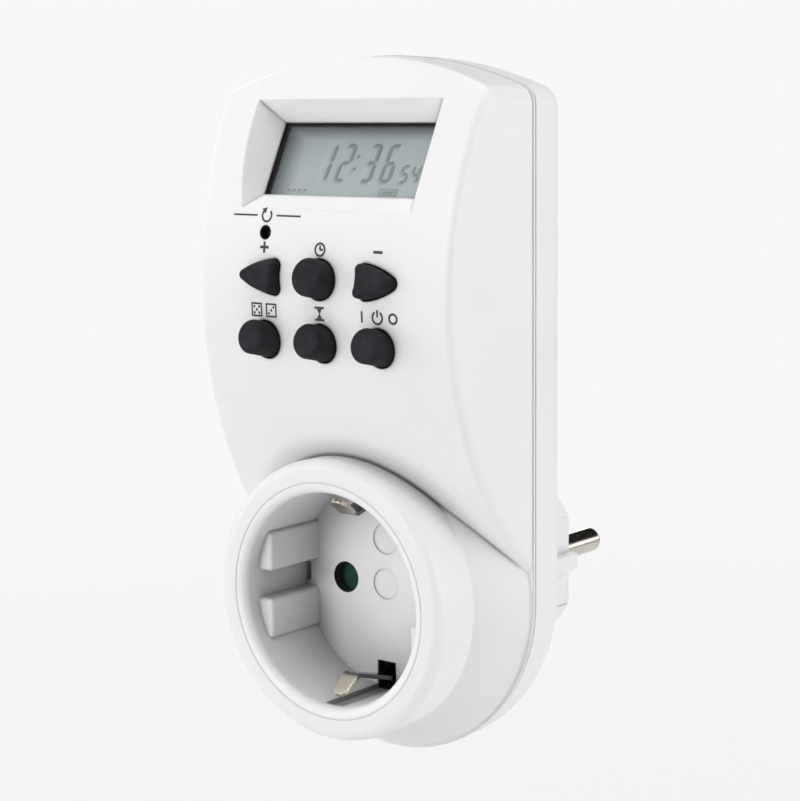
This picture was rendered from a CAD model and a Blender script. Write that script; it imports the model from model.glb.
"""Looks of the plug-in timer: finishes, printed signs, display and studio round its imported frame.

Lengths in the classes are in millimetres, in the frame's own axes: +X to the viewer's right, +Y into
the wall, +Z up. The meshes, the lamps and the cards are in metres.
"""

import logging
import math
from dataclasses import dataclass
from enum import Enum

import bmesh
import bpy
from mathutils import Matrix, Vector


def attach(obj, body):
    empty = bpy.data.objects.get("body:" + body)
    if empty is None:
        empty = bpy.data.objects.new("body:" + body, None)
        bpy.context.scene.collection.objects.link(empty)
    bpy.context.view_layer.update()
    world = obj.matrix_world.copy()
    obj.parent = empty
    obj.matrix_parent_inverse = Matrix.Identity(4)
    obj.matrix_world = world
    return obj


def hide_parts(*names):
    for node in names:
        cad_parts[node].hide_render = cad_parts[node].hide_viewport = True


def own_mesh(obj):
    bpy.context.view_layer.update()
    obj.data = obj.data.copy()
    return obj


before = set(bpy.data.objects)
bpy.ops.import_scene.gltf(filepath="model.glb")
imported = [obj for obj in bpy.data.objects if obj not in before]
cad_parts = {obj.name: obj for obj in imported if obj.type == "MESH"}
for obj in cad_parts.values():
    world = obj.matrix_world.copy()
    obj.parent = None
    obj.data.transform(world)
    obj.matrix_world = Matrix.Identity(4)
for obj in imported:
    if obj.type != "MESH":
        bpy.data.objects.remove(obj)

log = logging.getLogger("timer")

MM = 0.001
PARTING_Y = -34.1
SOCKET_FLOOR_Y = -36.95
KEY_PITCH = 12.9
ALONG_Y = (0.0, 1.0, 0.0)
Colour = tuple[float, float, float]
Point = tuple[float, float, float]
Box = tuple[float, float, float, float]
Socket = bpy.types.NodeSocket
Value = Socket | Colour | float


class Body(Enum):
    """The moving groups of the frame that the new pieces ride on."""

    HOUSING = "housing"
    UP = "key_up"
    SET = "key_set"
    DOWN = "key_down"
    RANDOM = "key_random"
    COUNTDOWN = "key_countdown"
    MANUAL = "key_manual"
    RESET = "reset_button"


class Along(Enum):
    """The axis that brush strokes or scratches follow, as a stretch of the pattern's scale."""

    X = (0.04, 1.0, 1.0)
    Y = (1.0, 0.04, 1.0)
    Z = (1.0, 1.0, 0.04)
    NONE = (1.0, 1.0, 1.0)


@dataclass(frozen=True)
class DarkHole:
    """The inside of a hole, which dirt and shade turn dark behind its start."""

    point: Point
    axis: Point
    radius: float
    start_y: float = -100.0


class NodeGraph:
    """A node tree under construction, with short helpers for its nodes."""

    def __init__(self, tree: bpy.types.NodeTree) -> None:
        """Start from an emptied tree."""
        self.tree = tree
        self.tree.nodes.clear()

    def feed(self, source: Value, target: Socket) -> None:
        """Link a socket to an input, or give the input a plain value.

        Args:
            source: A socket, a number, a colour or a vector.
            target: The input that gets it.
        """
        if isinstance(source, bpy.types.NodeSocket):
            self.tree.links.new(source, target)
        elif target.type == "RGBA":
            target.default_value = (*source, 1.0)
        else:
            target.default_value = source

    def node(self, kind: str, **inputs: Value) -> bpy.types.Node:
        """Add a node and feed its inputs.

        Args:
            kind: The node's type without its ShaderNode prefix.
            inputs: Input names, with underscores for spaces, and what they get.

        Returns:
            The new node.
        """
        made = self.tree.nodes.new("ShaderNode" + kind)
        for name, value in inputs.items():
            self.feed(value, made.inputs[name.replace("_", " ")])
        return made

    def sum_of(self, kind: str, operation: str, *values: Value) -> bpy.types.Node:
        """Add a node that does one sum.

        Args:
            kind: Math or VectorMath.
            operation: The sum's name.
            values: What it is done on.

        Returns:
            The new node.
        """
        made = self.node(kind)
        made.operation = operation
        for value, target in zip(values, made.inputs):
            self.feed(value, target)
        return made

    def math(self, operation: str, *values: Socket | float) -> Socket:
        """One sum of numbers or their sockets."""
        return self.sum_of("Math", operation, *values).outputs[0]

    def length(self, vector: Socket) -> Socket:
        """The length of a vector."""
        return self.sum_of("VectorMath", "LENGTH", vector).outputs["Value"]

    def blended(self, factor: Socket, first: Socket, second: Socket) -> Socket:
        """Blend two shaders by a value.

        Args:
            factor: Nought gives the first shader and one the second.
            first: A shader's socket.
            second: A shader's socket.

        Returns:
            The blended shader's socket.
        """
        made = self.node("MixShader", Fac=factor)
        self.feed(first, made.inputs[1])
        self.feed(second, made.inputs[2])
        return made.outputs[0]


class ShaderGraph(NodeGraph):
    """A material under construction, with short helpers for its patterns."""

    def __init__(self, name: str) -> None:
        """Start a material with a principled shader joined to its output.

        Args:
            name: The material's name.
        """
        self.material = bpy.data.materials.new(name)
        self.material.use_nodes = True
        super().__init__(self.material.node_tree)
        self.output = self.node("OutputMaterial")
        self.shader = self.node("BsdfPrincipled")
        self.show(self.shader.outputs[0])
        self.coordinates = self.node("TexCoord").outputs["Object"]

    def show(self, surface: Socket) -> None:
        """Join a shader to the material's output."""
        self.feed(surface, self.output.inputs["Surface"])

    def paint(self, **inputs: Value) -> None:
        """Feed inputs of the principled shader, given as for node()."""
        for name, value in inputs.items():
            self.feed(value, self.shader.inputs[name.replace("_", " ")])

    def place(self, axis: str) -> Socket:
        """One of the object coordinates, X, Y or Z."""
        return self.node("SeparateXYZ", Vector=self.coordinates).outputs[axis]

    def off_depth(self, y: float) -> Socket:
        """How far the surface is from a y in millimetres, in metres."""
        return self.math("ABSOLUTE", self.math("SUBTRACT", self.place("Y"), y * MM))

    def mapped(self, along: Along, turn: float = 0.0) -> Socket:
        """Object coordinates drawn out along an axis and turned about X.

        Args:
            along: The axis that the pattern is drawn out along.
            turn: The turn in degrees.

        Returns:
            The coordinates' socket.
        """
        turned = (math.radians(turn), 0.0, 0.0)
        return self.node("Mapping", Vector=self.coordinates, Scale=along.value, Rotation=turned).outputs[0]

    def noise(self, size: float, where: Socket | None = None, detail: float = 2.0) -> Socket:
        """A noise value.

        Args:
            size: The size of its patches in millimetres.
            where: Coordinates to read, or the object's own.
            detail: Octaves of finer noise.

        Returns:
            The value's socket.
        """
        made = self.node("TexNoise", Vector=where or self.coordinates, Scale=1.0 / (size * MM), Detail=detail)
        return made.outputs["Fac"]

    def cells(self, size: float) -> Socket:
        """The distance field of scattered cells, spaced by a size in millimetres."""
        return self.node("TexVoronoi", Vector=self.coordinates, Scale=1.0 / (size * MM)).outputs["Distance"]

    def spread(
        self,
        value: Socket,
        low: float,
        high: float,
        start: float = 0.3,
        end: float = 0.7,
        smooth: bool = False,
    ) -> Socket:
        """Map a value's middle band to a range.

        Args:
            value: The value to map.
            low: The result at the band's start.
            high: The result at the band's end.
            start: Where the band starts.
            end: Where the band ends.
            smooth: Whether the result eases in and out.

        Returns:
            The mapped value's socket.
        """
        made = self.node("MapRange", Value=value, From_Min=start, From_Max=end, To_Min=low, To_Max=high)
        made.interpolation_type = "SMOOTHSTEP" if smooth else "LINEAR"
        return made.outputs["Result"]

    def mixed(self, factor: Socket, first: Colour | Socket, second: Colour | Socket) -> Socket:
        """Blend two colours by a value.

        Args:
            factor: Nought gives the first colour and one the second.
            first: A colour or a colour socket.
            second: A colour or a colour socket.

        Returns:
            The blended colour's socket.
        """
        made = self.tree.nodes.new("ShaderNodeMix")
        made.data_type = "RGBA"
        self.feed(factor, made.inputs["Factor"])
        for name, colour in (("A", first), ("B", second)):
            self.feed(colour, next(s for s in made.inputs if s.name == name and s.type == "RGBA"))
        return next(s for s in made.outputs if s.type == "RGBA")

    def inside(self, hole: DarkHole, edge: float = 0.02, soft: float = 0.04, fade: float = 0.5) -> Socket:
        """One inside a hole and nought outside it.

        Args:
            hole: The hole.
            edge: How far past the hole's radius the dark stays full, in millimetres.
            soft: Over what width it then ends.
            fade: Over what depth it starts.

        Returns:
            The value's socket.
        """
        point = tuple(part * MM for part in hole.point)
        off = self.sum_of("VectorMath", "SUBTRACT", self.coordinates, point).outputs["Vector"]
        aside = self.sum_of("VectorMath", "CROSS_PRODUCT", off, hole.axis).outputs["Vector"]
        rim = (hole.radius + edge) * MM
        near = self.spread(self.length(aside), 1.0, 0.0, start=rim, end=rim + soft * MM)
        front = hole.start_y * MM
        deep = self.spread(self.place("Y"), 0.0, 1.0, start=front, end=front + fade * MM)
        return self.math("MULTIPLY", near, deep)

    def relief(self, height: Socket, depth: float, over: Socket | None = None) -> Socket:
        """Surface relief from a height value.

        Args:
            height: The height, from nought to one.
            depth: The relief's depth in millimetres.
            over: Relief that lies under this one.

        Returns:
            The normal's socket.
        """
        made = self.node("Bump", Height=height, Distance=depth * MM, Strength=1.0)
        if over is not None:
            self.feed(over, made.inputs["Normal"])
        return made.outputs["Normal"]

    def soft_edge(self, radius: float) -> Socket:
        """A normal that rounds edges by a radius in millimetres."""
        return self.node("Bevel", Radius=radius * MM).outputs["Normal"]


def shade_of(colour: Colour, factor: float) -> Colour:
    """A colour made darker or lighter by a factor."""
    return tuple(min(1.0, part * factor) for part in colour)


@dataclass(frozen=True)
class Finish:
    """What every finish has: a name and a colour."""

    name: str
    colour: Colour

    def material(self) -> bpy.types.Material:
        """The finish as a material, made once and then shared.

        Returns:
            The material.
        """
        name = f"{self.name}_finish"
        found = bpy.data.materials.get(name)
        if found is not None:
            return found
        graph = ShaderGraph(name)
        self.shade(graph)
        return graph.material

    def shade(self, graph: ShaderGraph) -> None:
        """Fill the graph. Each finish has its own."""
        raise NotImplementedError


@dataclass(frozen=True)
class MouldedPlastic(Finish):
    """Injection-moulded plastic with a fine eroded grain and faint flow marks."""

    roughness: float = 0.42
    gloss_play: float = 0.03
    grain: float = 0.35
    grain_depth: float = 0.006
    flow: float = 26.0
    mottle: float = 0.975
    speck_pitch: float = 2.6
    speck_shade: float = 0.93
    edge: float = 0.0
    cavity: float = 0.0
    soot: float = 0.5
    open_share: float = 0.85
    crease: float = 0.0
    crease_soot: float = 0.35
    clean_y: float | None = None
    clean_half: float = 0.9
    clean_fade: float = 5.0
    holes: tuple[DarkHole, ...] = ()
    hole_dark: Colour = (0.03, 0.03, 0.03)

    def sooted(self, graph: ShaderGraph, body: Socket) -> Socket:
        """Darken the hollows broadly and the creases sharply, but for a clean band.

        Args:
            graph: The material under construction.
            body: The plastic's colour.

        Returns:
            The darkened colour's socket.
        """
        clean = None
        if self.clean_y is not None:
            start = self.clean_half * MM
            clean = graph.spread(graph.off_depth(self.clean_y), 1.0, 0.0, start, start + self.clean_fade * MM)
        layers = (
            (self.cavity, self.soot, 0.1, self.open_share),
            (self.crease, self.crease_soot, 0.4, 0.93),
        )
        for reach, dull, shut, wide_open in layers:
            if reach:
                open_sky = graph.node("AmbientOcclusion", Distance=reach * MM).outputs["AO"]
                lit = graph.spread(open_sky, 0.0, 1.0, shut, wide_open)
                lit = graph.math("MAXIMUM", lit, clean) if clean is not None else lit
                body = graph.mixed(lit, shade_of(self.colour, dull), body)
        return body

    def shade(self, graph: ShaderGraph) -> None:
        """Grain, flow marks, fine specks, dulled corners, soft edges and dark holes.

        Args:
            graph: The material under construction.
        """
        flow = graph.noise(self.flow, detail=3.0)
        specks = graph.spread(graph.cells(self.speck_pitch), 1.0, 0.0, start=0.02, end=0.05)
        body = graph.mixed(graph.spread(flow, 0.0, 1.0), shade_of(self.colour, self.mottle), self.colour)
        body = graph.mixed(specks, body, shade_of(self.colour, self.speck_shade))
        body = self.sooted(graph, body)
        for hole in self.holes:
            body = graph.mixed(graph.inside(hole), body, self.hole_dark)
        edge = graph.soft_edge(self.edge) if self.edge else None
        low, high = (self.roughness + side * self.gloss_play for side in (-1, 1))
        graph.paint(Base_Color=body, Roughness=graph.spread(flow, low, high))
        graph.paint(Normal=graph.relief(graph.noise(self.grain, detail=3.0), self.grain_depth, edge))
        graph.paint(IOR=1.49, Specular_IOR_Level=0.45)


@dataclass(frozen=True)
class Rubber(Finish):
    """Silicone rubber, matt, with dust in its grain and a soft sheen."""

    roughness: float = 0.62
    gloss_play: float = 0.12
    grain: float = 0.22
    grain_depth: float = 0.012
    patch: float = 3.2
    dust: float = 1.9
    gloss: float = 0.25

    def shade(self, graph: ShaderGraph) -> None:
        """Fine grain, and paler dust in broad patches.

        Args:
            graph: The material under construction.
        """
        patches = graph.noise(self.patch, detail=4.0)
        grain = graph.noise(self.grain, detail=4.0)
        dusty = graph.mixed(graph.spread(patches, 0.0, 1.0), self.colour, shade_of(self.colour, self.dust))
        graph.paint(Base_Color=graph.mixed(graph.spread(grain, 0.0, 0.5), dusty, self.colour))
        graph.paint(Roughness=graph.spread(patches, self.roughness, self.roughness + self.gloss_play))
        graph.paint(Normal=graph.relief(grain, self.grain_depth), Specular_IOR_Level=self.gloss)


@dataclass(frozen=True)
class Metal(Finish):
    """Plated, drawn or stamped metal with fine strokes and a little tarnish."""

    roughness: float = 0.24
    along: Along = Along.Y
    stroke: float = 0.12
    stroke_depth: float = 0.004
    smoother: float = 0.05
    rougher: float = 0.08
    patch: float = 4.0
    tarnish: Colour = (0.5, 0.42, 0.33)
    tarnished: float = 0.25
    edge: float = 0.2
    dull: Colour | None = None
    dull_y: float = 0.0
    dull_half: float = 1.0
    dull_fade: float = 0.5

    def shade(self, graph: ShaderGraph) -> None:
        """Strokes along one axis, in relief and gloss, under tarnish, with rubbed edges and a dull band.

        Args:
            graph: The material under construction.
        """
        strokes = graph.noise(self.stroke, graph.mapped(self.along), detail=3.0)
        stained = graph.spread(graph.noise(self.patch, detail=5.0), 0.0, self.tarnished, start=0.45, end=0.8)
        body = graph.mixed(stained, self.colour, self.tarnish)
        if self.dull is not None:
            start, end = ((self.dull_half + side * self.dull_fade) * MM for side in (-1, 1))
            bright = graph.spread(graph.off_depth(self.dull_y), 0.0, 1.0, start, end)
            body = graph.mixed(bright, self.dull, body)
        graph.paint(Base_Color=body, Metallic=1.0)
        low, high = self.roughness - self.smoother, self.roughness + self.rougher
        graph.paint(Roughness=graph.spread(strokes, low, high))
        graph.paint(Normal=graph.relief(strokes, self.stroke_depth, graph.soft_edge(self.edge)))


@dataclass(frozen=True)
class ClearPane(Finish):
    """Clear polished plastic that lets the lamps through to what lies behind it."""

    roughness: float = 0.03
    bend: float = 1.22
    scratch: float = 0.4
    scratch_rough: float = 0.03

    def shade(self, graph: ShaderGraph) -> None:
        """Clear coated plastic with faint hairline scratches, and no shadow of its own.

        Args:
            graph: The material under construction.
        """
        scratches = graph.noise(self.scratch, graph.mapped(Along.X))
        rough = self.roughness + self.scratch_rough
        worn = graph.spread(scratches, self.roughness, rough, start=0.6, end=0.8)
        graph.paint(Base_Color=self.colour, Transmission_Weight=1.0, IOR=self.bend, Roughness=worn)
        shadow = graph.node("LightPath").outputs["Is Shadow Ray"]
        clear = graph.node("BsdfTransparent").outputs[0]
        graph.show(graph.blended(shadow, graph.shader.outputs[0], clear))


@dataclass(frozen=True)
class LiquidCrystal(Finish):
    """The display's glass: a reflective grey green with a shaded border at its left and its top."""

    edge: Colour = (0.05, 0.06, 0.065)
    left_x: float = -17.2
    top_z: float = 84.072
    border_left: float = 6.2
    border_top: float = 3.0
    darkest: float = 0.95
    grain: float = 0.12
    grain_shade: float = 0.96
    wash: float = 9.0
    wash_shade: float = 0.85
    wash_share: float = 0.25

    def shade(self, graph: ShaderGraph) -> None:
        """A fine reflector grain, a slow wash, and the border's shade.

        Args:
            graph: The material under construction.
        """
        left, top = self.left_x * MM, self.top_z * MM
        beside = graph.spread(graph.place("X"), 0.0, 1.0, left + self.border_left * MM, left, smooth=True)
        below = graph.spread(graph.place("Z"), 0.0, 1.0, top - self.border_top * MM, top, smooth=True)
        shaded = graph.spread(graph.math("MAXIMUM", beside, below), 0.0, self.darkest, start=0.0, end=1.0)
        grain = graph.noise(self.grain)
        grained = shade_of(self.colour, self.grain_shade)
        body = graph.mixed(graph.spread(grain, 0.0, 1.0), grained, self.colour)
        washed = shade_of(self.colour, self.wash_shade)
        body = graph.mixed(graph.spread(graph.noise(self.wash), 0.0, self.wash_share), body, washed)
        graph.paint(Base_Color=graph.mixed(shaded, body, self.edge))
        graph.paint(Roughness=graph.spread(grain, 0.45, 0.55), Specular_IOR_Level=0.2)


@dataclass(frozen=True)
class Ink(Finish):
    """Printed ink or a darkened display segment, thin and even."""

    roughness: float = 0.55
    gloss_play: float = 0.1
    worn: float = 1.7
    worn_share: float = 0.3
    grain: float = 0.18

    def shade(self, graph: ShaderGraph) -> None:
        """Tiny breaks in the print.

        Args:
            graph: The material under construction.
        """
        breaks = graph.noise(self.grain, detail=3.0)
        thin = shade_of(self.colour, self.worn)
        graph.paint(Base_Color=graph.mixed(graph.spread(breaks, 0.0, self.worn_share), self.colour, thin))
        graph.paint(Roughness=graph.spread(breaks, self.roughness, self.roughness + self.gloss_play))


@dataclass(frozen=True)
class BoardLaminate(Finish):
    """A printed board: laminate under lacquer, with tracks in relief and tinned pads."""

    track: Colour = (0.05, 0.3, 0.15)
    tin: Colour = (0.62, 0.6, 0.55)
    pitch: float = 1.9
    lean: float = 0.0
    mortar: float = 0.035
    mortar_soft: float = 0.2
    track_depth: float = 0.03
    weave: float = 0.5
    weave_shade: float = 0.85
    weave_depth: float = 0.01
    pad_metal: float = 0.8

    def shade(self, graph: ShaderGraph) -> None:
        """Tracks between rows of bricks, tinned pads at cell centres, and the weave.

        Args:
            graph: The material under construction.
        """
        flat = graph.mapped(Along.NONE, 90.0 - self.lean)
        bricks = graph.node("TexBrick", Vector=flat, Scale=1.0 / (self.pitch * 4 * MM))
        bricks.inputs["Mortar Size"].default_value = self.mortar
        bricks.inputs["Mortar Smooth"].default_value = self.mortar_soft
        tracks = bricks.outputs["Fac"]
        pads = graph.spread(graph.cells(self.pitch * 2.2), 1.0, 0.0, start=0.1, end=0.16)
        weave = graph.noise(self.weave)
        woven = shade_of(self.colour, self.weave_shade)
        base = graph.mixed(graph.spread(weave, 0.0, 1.0), woven, self.colour)
        graph.paint(Base_Color=graph.mixed(pads, graph.mixed(tracks, base, self.track), self.tin))
        graph.paint(Roughness=graph.spread(weave, 0.3, 0.42))
        graph.paint(Metallic=graph.spread(pads, 0.0, self.pad_metal, start=0.2, end=0.9))
        under = graph.relief(weave, self.weave_depth)
        graph.paint(Normal=graph.relief(tracks, self.track_depth, under))


@dataclass(frozen=True)
class Potted(Finish):
    """A glossy moulded, dipped or sleeved electronic part."""

    roughness: float = 0.25
    gloss_play: float = 0.2
    ripple: float = 2.2
    ripple_depth: float = 0.04
    dust: float = 0.3
    dust_share: float = 0.35
    dust_shade: float = 1.6

    def shade(self, graph: ShaderGraph) -> None:
        """Slow ripples in a glossy skin, with dust.

        Args:
            graph: The material under construction.
        """
        dust = graph.noise(self.dust, detail=4.0)
        dusted = graph.spread(dust, 0.0, self.dust_share, start=0.5, end=0.8)
        graph.paint(Base_Color=graph.mixed(dusted, self.colour, shade_of(self.colour, self.dust_shade)))
        graph.paint(Roughness=graph.spread(dust, self.roughness, self.roughness + self.gloss_play))
        graph.paint(Normal=graph.relief(graph.noise(self.ripple), self.ripple_depth))


@dataclass(frozen=True)
class StripedCable(Finish):
    """A flat cable: ribs between its wires and one marked edge."""

    rib: float = 1.27
    rib_shade: float = 0.7
    rib_depth: float = 0.12
    waves_per_scale: float = 0.3183
    mark: Colour = (0.5, 0.05, 0.04)
    edge_x: float = 9.0

    def shade(self, graph: ShaderGraph) -> None:
        """Ribs across the width, and a coloured first wire.

        Args:
            graph: The material under construction.
        """
        scale = self.waves_per_scale / (self.rib * MM)
        waves = graph.node("TexWave", Vector=graph.coordinates, Scale=scale)
        waves.bands_direction = "X"
        ribs = waves.outputs["Fac"]
        end = (self.edge_x + self.rib * 0.4) * MM
        edge = graph.spread(graph.place("X"), 1.0, 0.0, end, end + self.rib * 0.2 * MM)
        body = graph.mixed(ribs, shade_of(self.colour, self.rib_shade), self.colour)
        graph.paint(Base_Color=graph.mixed(edge, body, self.mark))
        graph.paint(Roughness=graph.spread(ribs, 0.45, 0.35, start=0.0, end=1.0))
        graph.paint(Normal=graph.relief(ribs, self.rib_depth))


SOCKET_HOLES = tuple(DarkHole((side * 9.5, 0.0, 0.0), ALONG_Y, 2.9) for side in (-1, 1)) + tuple(
    DarkHole((0.0, 0.0, side * 17.55), ALONG_Y, 3.6, SOCKET_FLOOR_Y + 0.05) for side in (-1, 1)
)
RESET_HOLE = DarkHole((-KEY_PITCH, -54.18, 65.5), (0.0, -0.97815, 0.20791), 1.27)


class Palette:
    """The finishes of this timer, one for each kind of surface it has."""

    shell = MouldedPlastic(
        "shell_white",
        (0.9, 0.9, 0.9),
        edge=0.5,
        cavity=6.0,
        crease=0.9,
        crease_soot=0.2,
        clean_y=PARTING_Y - 0.6,
        holes=(RESET_HOLE,),
    )
    insert = MouldedPlastic(
        "insert_white",
        (0.92, 0.92, 0.92),
        roughness=0.38,
        grain=0.5,
        grain_depth=0.004,
        edge=0.25,
        cavity=14.0,
        soot=0.38,
        open_share=0.98,
        holes=SOCKET_HOLES,
    )
    plug = MouldedPlastic("plug_white", (0.88, 0.88, 0.88), roughness=0.4, edge=0.2, cavity=4.0)
    holder = MouldedPlastic("holder_white", (0.78, 0.78, 0.75), roughness=0.45)
    shutter = MouldedPlastic("shutter_green", (0.0, 0.05, 0.032), roughness=0.5, mottle=0.8)
    base = MouldedPlastic("base_brown", (0.14, 0.09, 0.06), roughness=0.35, grain=0.7, mottle=0.75)
    seam = MouldedPlastic("seam_white", (0.84, 0.84, 0.84), roughness=0.5)
    keys = Rubber("key_rubber", (0.021, 0.0205, 0.024), gloss=0.05)
    mat = Rubber("mat_rubber", (0.26, 0.27, 0.28), roughness=0.5, dust=1.15)
    gasket = Rubber("gasket_rubber", (0.006, 0.006, 0.007), grain=0.5, grain_depth=0.004, gloss=0.03)
    card = Rubber("card_black", (0.01, 0.01, 0.01), gloss=0.0)
    window = ClearPane("window_clear", (1.0, 1.0, 1.0))
    lcd = LiquidCrystal("lcd_grey", (0.222, 0.251, 0.254))
    segment = Ink("lcd_segment", (0.087, 0.103, 0.108), roughness=0.5, worn=1.2)
    cast = Ink("lcd_cast", (0.15, 0.173, 0.177), roughness=0.5, worn=1.15)
    ghost = Ink("lcd_ghost", (0.207, 0.235, 0.238), roughness=0.5, worn=1.03)
    mask = Ink("lcd_mask", (0.006, 0.006, 0.007), roughness=0.5, worn=1.3)
    print_ink = Ink("print_ink", (0.022, 0.022, 0.024), worn=1.4)
    pin = Metal("pin_nickel", (0.8, 0.745, 0.67), roughness=0.12, along=Along.NONE, stroke=0.5)
    earth = Metal(
        "earth_nickel",
        (0.93, 0.86, 0.74),
        roughness=0.2,
        edge=0.3,
        dull=(0.2, 0.195, 0.215),
        dull_y=-40.0,
        dull_half=7.8,
    )
    brass = Metal("contact_brass", (0.72, 0.5, 0.2), roughness=0.28, along=Along.Z, tarnish=(0.3, 0.16, 0.07))
    zinc = Metal("screw_zinc", (0.62, 0.63, 0.64), roughness=0.32, along=Along.NONE)
    spring = Metal("spring_steel", (0.5, 0.5, 0.5), roughness=0.3, along=Along.NONE)
    cell = Metal("battery_steel", (0.66, 0.66, 0.65), roughness=0.3, along=Along.X)
    crystal = Metal("crystal_tin", (0.7, 0.7, 0.68), roughness=0.26, along=Along.X)
    control_board = BoardLaminate("board_green", (0.015, 0.12, 0.055), lean=12.0)
    power_board = BoardLaminate("board_tan", (0.42, 0.28, 0.13), track=(0.5, 0.36, 0.2), pitch=2.6)
    film = Potted("foil_film", (0.5, 0.3, 0.08), roughness=0.2)
    chip = Potted("chip_black", (0.012, 0.012, 0.013), roughness=0.15)
    relay = Potted("relay_blue", (0.02, 0.07, 0.28), roughness=0.3)
    film_box = Potted("film_yellow", (0.7, 0.48, 0.05), roughness=0.3)
    can = Potted("can_black", (0.02, 0.02, 0.035), roughness=0.22)
    varistor = Potted("varistor_blue", (0.03, 0.12, 0.42), roughness=0.22)
    diode = Potted("diode_black", (0.018, 0.018, 0.018), roughness=0.35)
    resistor = Potted("resistor_tan", (0.55, 0.42, 0.28), roughness=0.5)
    transistor = Potted("transistor_black", (0.016, 0.016, 0.016), roughness=0.4)
    red_wire = Potted("wire_red", (0.42, 0.02, 0.015), roughness=0.3)
    blue_wire = Potted("wire_blue", (0.015, 0.06, 0.32), roughness=0.3)
    cable = StripedCable("cable_grey", (0.4, 0.41, 0.42))


def dress(finish: Finish, *nodes: str) -> None:
    """Give nodes of the frame a finish.

    Args:
        finish: The finish for all of their faces.
        nodes: The nodes' names.
    """
    for node in nodes:
        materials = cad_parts[node].data.materials
        materials.clear()
        materials.append(finish.material())
        log.info("dressed %s in %s", node, finish.name)


def make_object(name: str, mesh: bmesh.types.BMesh, material: bpy.types.Material) -> bpy.types.Object:
    """Turn a finished mesh into an object of the scene, at the origin.

    Args:
        name: The object's name.
        mesh: The mesh in metres and in place; it is freed.
        material: What its faces are made of.

    Returns:
        The new object.
    """
    data = bpy.data.meshes.new(name)
    mesh.to_mesh(data)
    mesh.free()
    data.materials.append(material)
    thing = bpy.data.objects.new(name, data)
    bpy.context.scene.collection.objects.link(thing)
    return thing


def make_piece(name: str, mesh: bmesh.types.BMesh, finish: Finish, body: Body) -> bpy.types.Object:
    """Turn a finished mesh into a piece of the timer.

    Args:
        name: The piece's name.
        mesh: The mesh in metres and in place; it is freed.
        finish: The piece's finish.
        body: The moving group that it rides on.

    Returns:
        The new object, at the origin.
    """
    thing = make_object(name, mesh, finish.material())
    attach(thing, body.value)
    log.info("made %s with %d faces on %s", name, len(thing.data.polygons), body.value)
    return thing


@dataclass(frozen=True)
class Slope:
    """A plane that leans back from the viewer, such as the display's or the control board's."""

    y: float
    z: float
    lean: float

    def matrix(self, x: float = 0.0, up: float = 0.0, out: float = 0.0) -> Matrix:
        """The place of a flat mesh that lies in X and Y and faces +Z, in millimetres.

        Args:
            x: How far right of the middle.
            up: How far up the slope.
            out: How far off it, towards the viewer.

        Returns:
            The matrix from the flat mesh's millimetres to metres in the frame.
        """
        turn = Matrix.Rotation(math.pi / 2 - math.radians(self.lean), 4, "X")
        place = Matrix.Translation((0.0, self.y, self.z)) @ turn @ Matrix.Translation((x, up, out))
        return Matrix.Scale(MM, 4) @ place


@dataclass(frozen=True)
class BulgedFace:
    """The front face: part of a cylinder about a level axis."""

    radius: float = 70.0
    bulge: float = 20.9
    crest_z: float = 54.8

    def depth(self, z: float) -> float:
        """The y of the face at a height."""
        return PARTING_Y + self.radius - self.bulge - math.sqrt(self.radius**2 - (z - self.crest_z) ** 2)


def close_mesh(mesh: bmesh.types.BMesh) -> None:
    """Merge points that fell together and turn all faces outwards."""
    bmesh.ops.remove_doubles(mesh, verts=mesh.verts[:], dist=1e-5)
    bmesh.ops.recalc_face_normals(mesh, faces=mesh.faces[:])


def thicken(mesh: bmesh.types.BMesh, height: float) -> None:
    """Raise every flat face of a mesh in X and Y into a thin closed plate.

    Args:
        mesh: The flat mesh.
        height: The plate's thickness in millimetres.
    """
    raised = bmesh.ops.extrude_face_region(mesh, geom=mesh.faces[:], use_keep_orig=True)
    tops = [item for item in raised["geom"] if isinstance(item, bmesh.types.BMVert)]
    bmesh.ops.translate(mesh, verts=tops, vec=(0.0, 0.0, height))
    close_mesh(mesh)


def add_frame(mesh: bmesh.types.BMesh, outer: Box, inner: Box) -> None:
    """Fill the space between two upright rectangles with four flat faces.

    Args:
        mesh: The flat mesh to add to.
        outer: The outer rectangle's left, right, low and high side.
        inner: The inner rectangle's.
    """
    loops = []
    for left, right, low, high in (outer, inner):
        corners = ((left, low), (right, low), (right, high), (left, high))
        loops.append([mesh.verts.new((x, up, 0.0)) for x, up in corners])
    for i in range(4):
        j = (i + 1) % 4
        mesh.faces.new((loops[0][i], loops[0][j], loops[1][j], loops[1][i]))


def add_bar(
    mesh: bmesh.types.BMesh, x: float, up: float, wide: float, high: float
) -> list[bmesh.types.BMVert]:
    """Add an upright rectangle to a flat mesh.

    Args:
        mesh: The flat mesh.
        x: The rectangle's middle.
        up: Its middle's height.
        wide: Its width.
        high: Its height.

    Returns:
        Its four corners.
    """
    place = Matrix.Translation((x, up, 0.0)) @ Matrix.Diagonal((wide / 2, high / 2, 1.0, 1.0))
    return bmesh.ops.create_grid(mesh, x_segments=1, y_segments=1, size=1.0, matrix=place)["verts"]


def add_disc(
    mesh: bmesh.types.BMesh, x: float, up: float, radius: float, corners: int, turn: float = 0.0
) -> list[bmesh.types.BMVert]:
    """Add a disc or another even-sided shape to a flat mesh.

    Args:
        mesh: The flat mesh.
        x: The shape's middle.
        up: Its middle's height.
        radius: From its middle to a corner.
        corners: How many corners it has.
        turn: Its turn in degrees; nought points a corner up.

    Returns:
        Its corners.
    """
    place = Matrix.Translation((x, up, 0.0)) @ Matrix.Rotation(math.radians(turn), 4, "Z")
    made = bmesh.ops.create_circle(mesh, cap_ends=True, segments=corners, radius=radius, matrix=place)
    return made["verts"]


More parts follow.
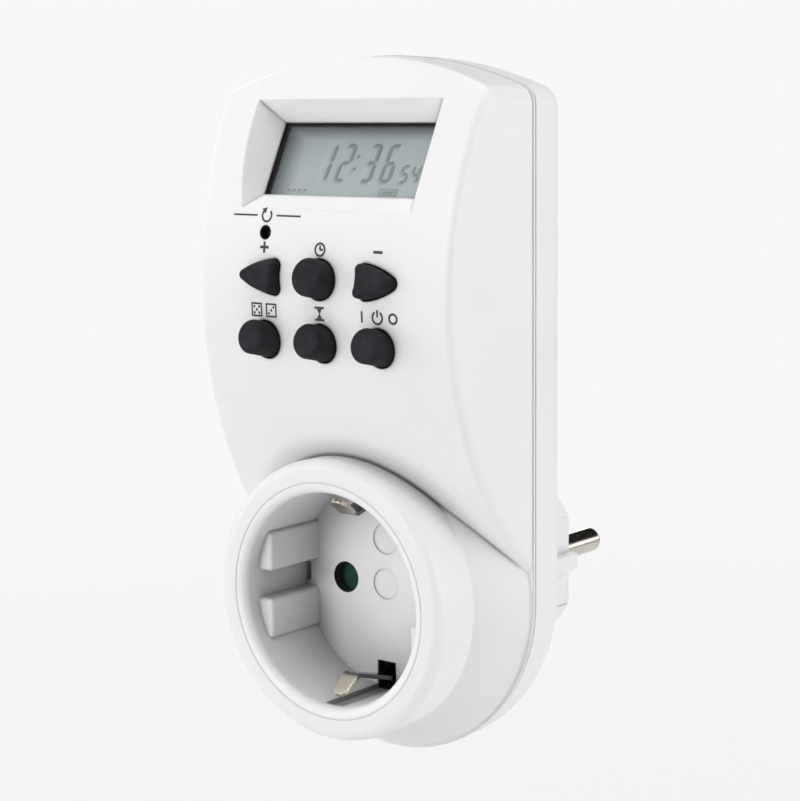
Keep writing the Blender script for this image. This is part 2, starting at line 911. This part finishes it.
def turned(profile: list[Point], axis: Point, steps: int) -> bmesh.types.BMesh:
    """Turn a closed profile once round an axis through the origin.

    Args:
        profile: The profile's corners in order.
        axis: The axis.
        steps: How many steps one turn has.

    Returns:
        The new mesh.
    """
    mesh = bmesh.new()
    points = [mesh.verts.new(corner) for corner in profile]
    sides = [mesh.edges.new(pair) for pair in zip(points, points[1:] + points[:1])]
    bmesh.ops.spin(
        mesh,
        geom=points + sides,
        cent=(0.0, 0.0, 0.0),
        axis=axis,
        dvec=(0.0, 0.0, 0.0),
        angle=math.tau,
        steps=steps,
        use_merge=True,
        use_duplicate=False,
    )
    close_mesh(mesh)
    return mesh


@dataclass(frozen=True)
class Figures:
    """A group of digits on the display: its text, its left side and its digits' sizes."""

    text: str
    left: float
    wide: float = 2.6
    high: float = 7.5
    stroke: float = 0.74
    pitch: float = 4.3


@dataclass
class Display:
    """The display: digits, faint unlit segments and small marks behind the window."""

    slope: Slope = Slope(PARTING_Y - 12.25, 78.3, 26.5)
    depth: float = 1.6
    film: float = 0.015
    slant: float = 0.103
    base_up: float = -3.8
    hours: Figures = Figures("12", -7.11)
    minutes: Figures = Figures("36", 2.95)
    seconds: Figures = Figures("54", 11.6, 1.75, 3.5, 0.46, 2.4)
    tip_share: float = 0.46
    gap_share: float = 0.2
    colon_x: float = 0.85
    colon_r: float = 0.36
    colon_shares: tuple[float, float] = (0.34, 0.66)
    cast_shift: float = 0.34
    marks_down: float = 1.75
    bars_x: float = -12.3
    bars_pitch: float = 1.25
    bar_size: tuple[float, float] = (0.9, 0.42)
    badge_x: float = 10.4
    badge_half: tuple[float, float] = (1.9, 0.5)
    badge_line: float = 0.16
    badge_bar: tuple[float, float] = (2.4, 0.36)
    opening: tuple[float, float] = (33.96, 14.06)
    mask_side: float = 0.12
    mask_top: float = 0.2

    LIT_IN = dict(
        zip(
            "0123456789",
            ("abcdef", "bc", "abdeg", "abcdg", "bcfg", "acdfg", "acdefg", "abc", "abcdefg", "abcdfg"),
        )
    )

    def stroke(
        self, mesh: bmesh.types.BMesh, x: float, up: float, length: float, wide: float, steep: bool
    ) -> None:
        """Add one segment with pointed ends to a flat mesh.

        Args:
            mesh: The flat mesh of the display.
            x: The segment's middle.
            up: The segment's middle, up the display.
            length: Its length from point to point.
            wide: Its width.
            steep: Whether it stands rather than lies.
        """
        corners = add_bar(mesh, x, up, *((wide, length) if steep else (length, wide)))
        bmesh.ops.bevel(
            mesh,
            geom=corners,
            offset=wide * self.tip_share,
            affect="VERTICES",
            segments=1,
            profile=0.5,
            material=-1,
        )

    def digit(self, mesh: bmesh.types.BMesh, lit: str, left: float, size: Figures) -> None:
        """Add the given segments of one digit, standing upright.

        Args:
            mesh: The flat mesh of the display.
            lit: The letters of the segments to add.
            left: The left side of the digit.
            size: The group that it belongs to.
        """
        half = size.stroke / 2
        gap = size.stroke * self.gap_share
        level = size.wide - size.stroke - gap
        steep = size.high / 2 - half - gap
        right = left + size.wide
        middle = left + size.wide / 2
        upper = self.base_up + size.high
        high_mid = upper - half / 2 - steep / 2 - gap
        low_mid = self.base_up + half / 2 + steep / 2 + gap
        spots = {
            "a": (middle, upper - half, level, False),
            "b": (right - half, high_mid, steep, True),
            "c": (right - half, low_mid, steep, True),
            "d": (middle, self.base_up + half, level, False),
            "e": (left + half, low_mid, steep, True),
            "f": (left + half, high_mid, steep, True),
            "g": (middle, (self.base_up + upper) / 2, level, False),
        }
        for letter in lit:
            x, up, length, stands = spots[letter]
            self.stroke(mesh, x, up, length, size.stroke, stands)

    def digits(self, mesh: bmesh.types.BMesh, lit: bool) -> None:
        """Add the shown segments of every digit, or the ones that aren't shown.

        Args:
            mesh: The flat mesh of the display.
            lit: Whether the shown segments are added, or the rest.
        """
        for group in (self.hours, self.minutes, self.seconds):
            for place, figure in enumerate(group.text):
                on = self.LIT_IN[figure]
                wanted = on if lit else "".join(s for s in "abcdefg" if s not in on)
                self.digit(mesh, wanted, group.left + place * group.pitch, group)

    def colon(self, mesh: bmesh.types.BMesh) -> None:
        """Add the colon's two round dots."""
        for share in self.colon_shares:
            add_disc(mesh, self.colon_x, self.base_up + self.hours.high * share, self.colon_r, corners=14)

    def marks(self, mesh: bmesh.types.BMesh) -> None:
        """Add two small generic marks near the foot: a row of bars and a framed bar.

        Args:
            mesh: The flat mesh of the display.
        """
        foot = self.base_up - self.marks_down
        wide, high = self.badge_half
        for step in range(4):
            self.stroke(mesh, self.bars_x + step * self.bars_pitch, foot, *self.bar_size, False)
        for side in (-1, 1):
            self.stroke(mesh, self.badge_x, foot + side * high, 2 * wide, self.badge_line, False)
        for side in (-1, 1):
            self.stroke(mesh, self.badge_x + side * wide, foot, 2 * high, self.badge_line, True)
        self.stroke(mesh, self.badge_x, foot, *self.badge_bar, False)

    def mask(self) -> bmesh.types.BMesh:
        """The black frame printed round the glass, as a flat mesh.

        Returns:
            The flat mesh.
        """
        mesh = bmesh.new()
        half_w, half_h = (side / 2 for side in self.opening)
        right = half_w - self.mask_side
        inner = (-right, right, self.mask_side - half_h, half_h - self.mask_top)
        add_frame(mesh, (-half_w, half_w, -half_h, half_h), inner)
        return mesh

    def settle(self, mesh: bmesh.types.BMesh, out: float, slant: float = 0.0) -> bmesh.types.BMesh:
        """Slant the flat mesh, give it the film's thickness and lay it on the glass.

        Args:
            mesh: The flat mesh of the display.
            out: How far off the glass it starts.
            slant: How far it leans right for each step up.

        Returns:
            The same mesh in place, in metres.
        """
        leaning = Matrix.Identity(4)
        leaning[0][1] = slant
        bmesh.ops.transform(mesh, matrix=leaning, verts=mesh.verts[:])
        thicken(mesh, self.film)
        bmesh.ops.transform(mesh, matrix=self.slope.matrix(out=out - self.depth), verts=mesh.verts[:])
        return mesh

    def build(self) -> None:
        """Make the display's pieces and dress its stack."""
        layers = (
            ("display_unlit", False, 0.0, 0.0, Palette.ghost),
            ("display_cast", True, self.cast_shift, 0.02, Palette.cast),
            ("display_digits", True, 0.0, 0.04, Palette.segment),
        )
        for name, lit, shift, out, finish in layers:
            mesh = bmesh.new()
            self.digits(mesh, lit)
            if lit:
                self.colon(mesh)
                self.marks(mesh)
            bmesh.ops.translate(mesh, verts=mesh.verts[:], vec=(-shift, -shift, 0.0))
            make_piece(name, self.settle(mesh, out, self.slant), finish, Body.HOUSING)
        make_piece("display_mask", self.settle(self.mask(), 0.0), Palette.mask, Body.HOUSING)
        dress(Palette.window, "display_window")
        dress(Palette.gasket, "display_gasket")
        dress(Palette.lcd, "lcd_glass")
        dress(Palette.holder, "lcd_holder")
        dress(Palette.film, "lcd_foil")


@dataclass
class FaceSigns:
    """Small generic signs, printed on the bulged face where the keys' names would be."""

    face: BulgedFace = BulgedFace()
    height: float = 2.5
    line: float = 0.36
    bold_line: float = 0.468
    thin_line: float = 0.288
    ink: float = 0.02
    proud: float = 0.012
    reset_z: float = 68.5
    upper_z: float = 62.9
    lower_z: float = 51.7
    rule: float = 5.6
    rule_gap: float = 1.0
    apart: float = 3.4
    opened: float = 42.0
    power_gap: float = 32.0
    head: float = 0.7
    head_ahead: float = 0.21
    sum_size: float = 2.0
    dot_share: float = 0.45
    dot_r: float = 0.225
    long_hand: float = 0.75
    long_at: float = 0.35
    short_hand: float = 0.7
    short_at: float = 0.325
    glass_bar: float = 2.125
    glass_at: float = 0.525
    glass_r: float = 0.65
    switch_bar: float = 1.25
    switch_at: float = 0.75
    on_high: float = 2.0
    off_r: float = 1.0

    def ring(self, mesh: bmesh.types.BMesh, radius: float, gap: float = 0.0, x: float = 0.0) -> None:
        """Add a ring, open at its top if it has a gap.

        Args:
            mesh: The sign's flat mesh.
            radius: Its outer radius.
            gap: The half angle of the opening, in degrees.
            x: Its middle.
        """
        face = add_disc(mesh, x, 0.0, radius, corners=48)[0].link_faces[0]
        inner = bmesh.ops.inset_individual(mesh, faces=[face], thickness=self.line)
        bmesh.ops.delete(mesh, geom=[face], context="FACES_ONLY")
        if gap:
            band = [f for f in inner["faces"] if f.is_valid]
            upward = Vector((0.0, 1.0, 0.0))
            cut = [f for f in band if f.calc_center_median().angle(upward) < math.radians(gap)]
            bmesh.ops.delete(mesh, geom=cut, context="FACES")

    def plus(self, mesh: bmesh.types.BMesh) -> None:
        """A plus sign.

        Args:
            mesh: The sign's flat mesh.
        """
        thick = self.bold_line
        add_bar(mesh, 0.0, 0.0, self.sum_size, thick)
        for side in (-1, 1):
            add_bar(mesh, 0.0, side * (self.sum_size + thick) / 4, thick, (self.sum_size - thick) / 2)

    def minus(self, mesh: bmesh.types.BMesh) -> None:
        """A minus sign."""
        add_bar(mesh, 0.0, 0.0, self.sum_size, self.bold_line)

    def clock(self, mesh: bmesh.types.BMesh) -> None:
        """A clock face with two hands.

        Args:
            mesh: The sign's flat mesh.
        """
        self.ring(mesh, self.height / 2)
        add_bar(mesh, 0.0, self.long_at, self.line, self.long_hand)
        add_bar(mesh, self.short_at, 0.0, self.short_hand, self.line)

    def dice(self, mesh: bmesh.types.BMesh) -> None:
        """Two dice side by side, with five dots and with three.

        Args:
            mesh: The sign's flat mesh.
        """
        half = self.height / 2
        spots = (
            (-self.apart / 2, ((0, 0), (-1, -1), (-1, 1), (1, -1), (1, 1))),
            (self.apart / 2, ((0, 0), (-1, -1), (1, 1))),
        )
        for middle, dots in spots:
            sizes = (half, half - self.thin_line)
            add_frame(mesh, *[(middle - size, middle + size, -size, size) for size in sizes])
            reach = half * self.dot_share
            for x, up in dots:
                add_disc(mesh, middle + x * reach, up * reach, self.dot_r, corners=16)

    def hourglass(self, mesh: bmesh.types.BMesh) -> None:
        """An hourglass between two bars.

        Args:
            mesh: The sign's flat mesh.
        """
        for side in (-1, 1):
            add_bar(mesh, 0.0, side * (self.height - self.line) / 2, self.glass_bar, self.line)
            turn = 180.0 if side > 0 else 0.0
            add_disc(mesh, 0.0, side * self.glass_at, self.glass_r, corners=3, turn=turn)

    def power(self, mesh: bmesh.types.BMesh) -> None:
        """An open ring with a bar in its gap, between a bar and a small ring.

        Args:
            mesh: The sign's flat mesh.
        """
        self.ring(mesh, self.height / 2, gap=self.power_gap)
        add_bar(mesh, 0.0, self.switch_at, self.line, self.switch_bar)
        add_bar(mesh, -self.apart, 0.0, self.line, self.on_high)
        self.ring(mesh, self.off_r, x=self.apart)

    def restart(self, mesh: bmesh.types.BMesh) -> None:
        """An open ring that ends in an arrow head, between two short rules.

        Args:
            mesh: The sign's flat mesh.
        """
        self.ring(mesh, self.height / 2, gap=self.opened)
        lean = math.radians(self.opened)
        reach = self.height / 2 - self.line / 2
        x = self.head_ahead * math.cos(lean) - reach * math.sin(lean)
        up = self.head_ahead * math.sin(lean) + reach * math.cos(lean)
        add_disc(mesh, x, up, self.head, corners=3, turn=self.opened - 90.0)
        beside = self.height / 2 + self.rule_gap + self.rule / 2
        for side in (-1, 1):
            add_bar(mesh, side * beside, 0.0, self.rule, self.thin_line)

    def lay(self, mesh: bmesh.types.BMesh, x: float, z: float) -> None:
        """Divide a flat sign, thicken it and wrap it onto the face.

        Args:
            mesh: The sign's flat mesh.
            x: Its middle on the face.
            z: Its middle's height.
        """
        bmesh.ops.triangulate(mesh, faces=mesh.faces[:])
        thicken(mesh, self.ink)
        for vertex in mesh.verts:
            height = z + vertex.co.y
            lift = self.proud + vertex.co.z
            vertex.co = Vector((x + vertex.co.x, self.face.depth(height) - lift, height)) * MM

    def build(self) -> None:
        """Make all the signs as one printed piece."""
        signs = (
            (self.restart, -KEY_PITCH, self.reset_z),
            (self.plus, -KEY_PITCH, self.upper_z),
            (self.clock, 0.0, self.upper_z),
            (self.minus, KEY_PITCH, self.upper_z),
            (self.dice, -KEY_PITCH, self.lower_z),
            (self.hourglass, 0.0, self.lower_z),
            (self.power, KEY_PITCH, self.lower_z),
        )
        printed = bmesh.new()
        for draw, x, z in signs:
            one = bmesh.new()
            draw(one)
            self.lay(one, x, z)
            data = bpy.data.meshes.new("sign")
            one.to_mesh(data)
            one.free()
            printed.from_mesh(data)
            bpy.data.meshes.remove(data)
        make_piece("face_signs", printed, Palette.print_ink, Body.HOUSING)


class Housing:
    """The two white shells and what holds them."""

    def build(self) -> None:
        """Dress the shells and the screws."""
        dress(Palette.shell, "front_housing", "rear_housing")
        dress(Palette.zinc, "housing_screws", "board_screws")


@dataclass(frozen=True)
class Dome:
    """A hollow dome of the mat: its key, its place on the mat, and its foot and top radius."""

    body: Body
    x: float
    up: float
    foot: float = 2.6
    top: float = 1.7


@dataclass
class Keypad:
    """The rubber keys, the reset button, and the mat behind them with its hollow domes."""

    slope: Slope = Slope(PARTING_Y - 11.8, 46.0, 12.0)
    half_w: float = 17.2
    low: float = -5.2
    high: float = 19.15
    corner: float = 1.0
    corner_steps: int = 6
    thick: float = 0.8
    dome_h: float = 2.0
    wall: float = 0.5
    sink: float = 0.05
    shoulder_out: float = 0.1
    shoulder_down: float = 0.25
    crown_in: float = 0.15
    dome_steps: int = 48
    hole_steps: int = 32
    pressed: float = 0.72
    lower_up: float = -1.396
    upper_up: float = 9.565
    reset_up: float = 17.352
    reset_foot: float = 1.6
    reset_top: float = 1.2

    def domes(self) -> list[Dome]:
        """The domes under the six keys and the reset button.

        Returns:
            The domes, row by row.
        """
        places = [(x, up) for up in (self.upper_up, self.lower_up) for x in (-KEY_PITCH, 0.0, KEY_PITCH)]
        keys = (Body.UP, Body.SET, Body.DOWN, Body.RANDOM, Body.COUNTDOWN, Body.MANUAL)
        domes = [Dome(body, x, up) for body, (x, up) in zip(keys, places)]
        domes.append(Dome(Body.RESET, -KEY_PITCH, self.reset_up, self.reset_foot, self.reset_top))
        return domes

    def sheet(self) -> bmesh.types.BMesh:
        """The flat mat with round corners and a hole under every dome.

        Returns:
            The mat's mesh in place, in metres.
        """
        mesh = bmesh.new()
        rim = []
        right = self.half_w - self.corner
        high = self.high - self.corner
        low = self.low + self.corner
        for quarter, (x, up) in enumerate(((right, high), (-right, high), (-right, low), (right, low))):
            for step in range(self.corner_steps + 1):
                angle = math.pi / 2 * (quarter + step / self.corner_steps)
                reach = (x + self.corner * math.cos(angle), up + self.corner * math.sin(angle))
                rim.append(mesh.verts.new((*reach, 0.0)))
        for first, second in zip(rim, rim[1:] + rim[:1]):
            mesh.edges.new((first, second))
        for dome in self.domes():
            place = Matrix.Translation((dome.x, dome.up, 0.0))
            radius = dome.foot - self.wall
            bmesh.ops.create_circle(mesh, segments=self.hole_steps, radius=radius, matrix=place)
        bmesh.ops.triangle_fill(mesh, use_beauty=True, edges=mesh.edges[:])
        thicken(mesh, self.thick)
        bmesh.ops.transform(mesh, matrix=self.slope.matrix(), verts=mesh.verts[:])
        return mesh

    def shape(self, dome: Dome) -> bmesh.types.BMesh:
        """One hollow dome with a thin skirt, a flat top and a contact pill inside.

        Args:
            dome: The dome.

        Returns:
            The dome's mesh in place, in metres.
        """
        profile = (
            (dome.foot - self.wall, -self.sink),
            (dome.foot, -self.sink),
            (dome.foot, self.wall / 2),
            (dome.top + self.shoulder_out, self.dome_h - self.shoulder_down),
            (dome.top - self.crown_in, self.dome_h),
            (0.0, self.dome_h),
            (0.0, self.dome_h / 2),
            (dome.top - self.wall, self.dome_h / 2),
            (dome.foot - self.wall, self.wall / 2),
        )
        corners = [(reach, 0.0, height) for reach, height in profile]
        mesh = turned(corners, (0.0, 0.0, 1.0), self.dome_steps)
        place = self.slope.matrix(dome.x, dome.up, self.thick)
        bmesh.ops.transform(mesh, matrix=place, verts=mesh.verts[:])
        return mesh

    def build(self) -> None:
        """Dress the keys and the mat, and make the mat's sheet and its domes."""
        dress(Palette.mat, "keypad_mat")
        sheet = make_piece("key_mat_sheet", self.sheet(), Palette.mat, Body.HOUSING)
        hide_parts("keypad_mat")
        for dome in self.domes():
            key = dome.body.value
            dress(Palette.keys, key)
            piece = make_piece(f"dome_{key}", self.shape(dome), Palette.mat, Body.HOUSING)
            anchor = tuple(self.slope.matrix(dome.x, dome.up, self.thick).translation)
            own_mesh(piece)


@dataclass
class SocketAndPlug:
    """The socket's insert, its seal, shutter, contacts and earth, and the wall plug."""

    seal_inner: float = 21.41
    seal_outer: float = 21.49
    seal_front: float = -54.4
    seal_back: float = -52.0
    seal_steps: int = 120

    def seal(self) -> bmesh.types.BMesh:
        """A thin ring that fills the seam round the insert, a little below the surface.

        Returns:
            The ring's mesh in place, in metres.
        """
        corners = [
            (self.seal_inner, self.seal_front, 0.0),
            (self.seal_outer, self.seal_front, 0.0),
            (self.seal_outer, self.seal_back, 0.0),
            (self.seal_inner, self.seal_back, 0.0),
        ]
        mesh = turned(corners, ALONG_Y, self.seal_steps)
        bmesh.ops.scale(mesh, vec=(MM, MM, MM), verts=mesh.verts[:])
        return mesh

    def build(self) -> None:
        """Dress the insert, the contacts and the plug, and make the seal."""
        dress(Palette.insert, "socket_insert")
        dress(Palette.shutter, "shutter")
        dress(Palette.spring, "shutter_spring")
        dress(Palette.base, "contact_base")
        dress(Palette.brass, "live_contact", "neutral_contact", "live_busbar")
        dress(Palette.earth, "earth_strip_top", "earth_strip_bottom", "earth_bridge")
        dress(Palette.plug, "plug_body")
        dress(Palette.pin, "plug_pin_live", "plug_pin_neutral")
        make_piece("insert_seal", self.seal(), Palette.seam, Body.HOUSING)


class Electronics:
    """The two boards and the parts on them."""

    FINISHES = {
        "control_board": Palette.control_board,
        "control_chip": Palette.chip,
        "quartz_crystal": Palette.crystal,
        "backup_battery": Palette.cell,
        "power_board": Palette.power_board,
        "relay": Palette.relay,
        "film_capacitor": Palette.film_box,
        "smoothing_capacitor": Palette.can,
        "varistor": Palette.varistor,
        "rectifier_diodes": Palette.diode,
        "dropper_resistor": Palette.resistor,
        "transistor": Palette.transistor,
        "load_wire": Palette.red_wire,
        "neutral_wire": Palette.blue_wire,
        "ribbon_cable": Palette.cable,
    }

    def build(self) -> None:
        """Dress every electronic part."""
        for node, finish in self.FINISHES.items():
            dress(finish, node)


@dataclass(frozen=True)
class Lamp:
    """A square soft lamp: its place and side in metres, and its power in watts."""

    name: str
    at: Point
    side: float
    power: float


@dataclass(frozen=True)
class Card:
    """A black card that only reflections see: its place and its size in metres."""

    name: str
    at: Point
    wide: float
    high: float


@dataclass
class Studio:
    """The pale floor, the soft lamps, the world and the camera of the photograph's view."""

    focal_px: float = 2080.0
    frame_px: float = 801.0
    sensor: float = 36.0
    yaw: float = 37.86
    pitch: float = 8.24
    roll: float = -0.53
    camera_at: Point = (233.2, -332.2, 88.7)
    clip_start: float = 0.01
    clip_end: float = 50.0
    floor_z: float = -150.0
    floor_half: float = 6.0
    floor_dark: Colour = (0.84, 0.84, 0.84)
    floor_light: Colour = (0.87, 0.87, 0.87)
    floor_patch: float = 180.0
    floor_share: float = 0.8
    fade_start: float = 0.2
    fade_end: float = 0.9
    backdrop: float = 0.938
    sky: float = 0.16
    target: Point = (0.0, -0.04, 0.04)
    lamps: tuple[Lamp, ...] = (
        Lamp("lamp_front_left", (-1.25, -0.75, 0.2), 0.9, 4.6),
        Lamp("lamp_front", (-0.28, -1.45, 0.36), 0.6, 8.4),
        Lamp("lamp_above", (0.0, -0.15, 1.3), 0.9, 9.5),
        Lamp("lamp_right", (1.25, 0.3, -0.02), 0.9, 11.2),
        Lamp("lamp_back_right", (1.0, 0.9, 0.4), 0.9, 2.0),
        Lamp("lamp_back_left", (-1.0, 0.9, 0.4), 0.9, 4.0),
    )
    cards: tuple[Card, ...] = (
        Card("flag_front_right", (0.75, -1.05, 0.55), 0.8, 0.8),
        Card("flag_behind", (-0.1, 1.0, 0.6), 2.0, 0.7),
    )

    def add_camera(self) -> None:
        """Make the camera at the photograph's viewing angle."""
        yaw, pitch, roll = (math.radians(angle) for angle in (self.yaw, self.pitch, self.roll))
        ahead = Vector((-math.sin(yaw) * math.cos(pitch), math.cos(yaw) * math.cos(pitch), -math.sin(pitch)))
        level = Vector((math.cos(yaw), math.sin(yaw), 0.0))
        upright = level.cross(ahead)
        right = level * math.cos(roll) + upright * math.sin(roll)
        above = upright * math.cos(roll) - level * math.sin(roll)
        data = bpy.data.cameras.new("camera")
        data.sensor_width = self.sensor
        data.lens = self.focal_px * self.sensor / self.frame_px
        data.clip_start = self.clip_start
        data.clip_end = self.clip_end
        camera = bpy.data.objects.new("camera", data)
        turn = Matrix((right, above, -ahead)).transposed().to_4x4()
        camera.matrix_world = Matrix.Translation(Vector(self.camera_at) * MM) @ turn
        bpy.context.scene.collection.objects.link(camera)
        bpy.context.scene.camera = camera

    def add_world(self) -> None:
        """Light all round evenly, and show the backdrop's tone to the camera and in reflections."""
        world = bpy.data.worlds.new("studio")
        bpy.context.scene.world = world
        world.use_nodes = True
        graph = NodeGraph(world.node_tree)
        path = graph.node("LightPath").outputs
        straight = graph.math("MAXIMUM", path["Is Camera Ray"], path["Is Transmission Ray"])
        seen = graph.math("MAXIMUM", straight, path["Is Glossy Ray"])
        white = (1.0, 1.0, 1.0)
        sky, pale = (
            graph.node("Background", Color=white, Strength=strength).outputs[0]
            for strength in (self.sky, self.backdrop)
        )
        output = graph.node("OutputWorld")
        graph.feed(graph.blended(seen, sky, pale), output.inputs["Surface"])

    def add_floor(self) -> None:
        """A plain pale floor that fades into the backdrop and keeps the shadow."""
        mesh = bmesh.new()
        bmesh.ops.create_grid(mesh, x_segments=1, y_segments=1, size=self.floor_half)
        bmesh.ops.translate(mesh, verts=mesh.verts[:], vec=(0.0, 0.0, self.floor_z * MM))
        graph = ShaderGraph("floor_pale")
        wash = graph.spread(graph.noise(self.floor_patch), 0.0, 1.0)
        graph.paint(Base_Color=graph.mixed(wash, self.floor_dark, self.floor_light))
        graph.paint(Roughness=0.9, Specular_IOR_Level=0.1)
        away = graph.length(graph.coordinates)
        share = graph.spread(away, self.floor_share, 1.0, self.fade_start, self.fade_end)
        seen = graph.math("MULTIPLY", graph.node("LightPath").outputs["Is Camera Ray"], share)
        glow = graph.node("Emission", Strength=self.backdrop).outputs[0]
        graph.show(graph.blended(seen, graph.shader.outputs[0], glow))
        make_object("floor", mesh, graph.material)

    def facing(self, at: Point) -> Matrix:
        """The place of something that stands at a point and faces the object.

        Args:
            at: The point in metres.

        Returns:
            The place, with -Z towards the object.
        """
        aim = Vector(self.target) - Vector(at)
        return Matrix.Translation(at) @ aim.to_track_quat("-Z", "Y").to_matrix().to_4x4()

    def add_lamp(self, lamp: Lamp) -> None:
        """Add a lamp that faces the object.

        Args:
            lamp: The lamp.
        """
        data = bpy.data.lights.new(lamp.name, "AREA")
        data.shape = "SQUARE"
        data.size = lamp.side
        data.energy = lamp.power
        light = bpy.data.objects.new(lamp.name, data)
        light.matrix_world = self.facing(lamp.at)
        bpy.context.scene.collection.objects.link(light)

    def add_card(self, card: Card) -> None:
        """Add a card that faces the object, as studios use for dark bands in metal.

        Args:
            card: The card.
        """
        place = self.facing(card.at) @ Matrix.Diagonal((card.wide / 2, card.high / 2, 1.0, 1.0))
        mesh = bmesh.new()
        bmesh.ops.create_grid(mesh, x_segments=1, y_segments=1, size=1.0, matrix=place)
        thing = make_object(card.name, mesh, Palette.card.material())
        for kind in ("camera", "diffuse", "transmission", "shadow", "volume_scatter"):
            setattr(thing, f"visible_{kind}", False)

    def build(self) -> None:
        """Set the whole studio up."""
        self.add_world()
        self.add_floor()
        for lamp in self.lamps:
            self.add_lamp(lamp)
        for card in self.cards:
            self.add_card(card)
        self.add_camera()
        bpy.context.scene.view_settings.view_transform = "Standard"


def main() -> None:
    """Build the looks in order and note the sizes before and after."""
    logging.basicConfig(level=logging.INFO, format="%(name)s: %(message)s")
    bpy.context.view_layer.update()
    for part in (Housing(), Keypad(), Display(), FaceSigns(), SocketAndPlug(), Electronics(), Studio()):
        part.build()
        log.info("finished %s", type(part).__name__)


if __name__ == "__main__":
    main()
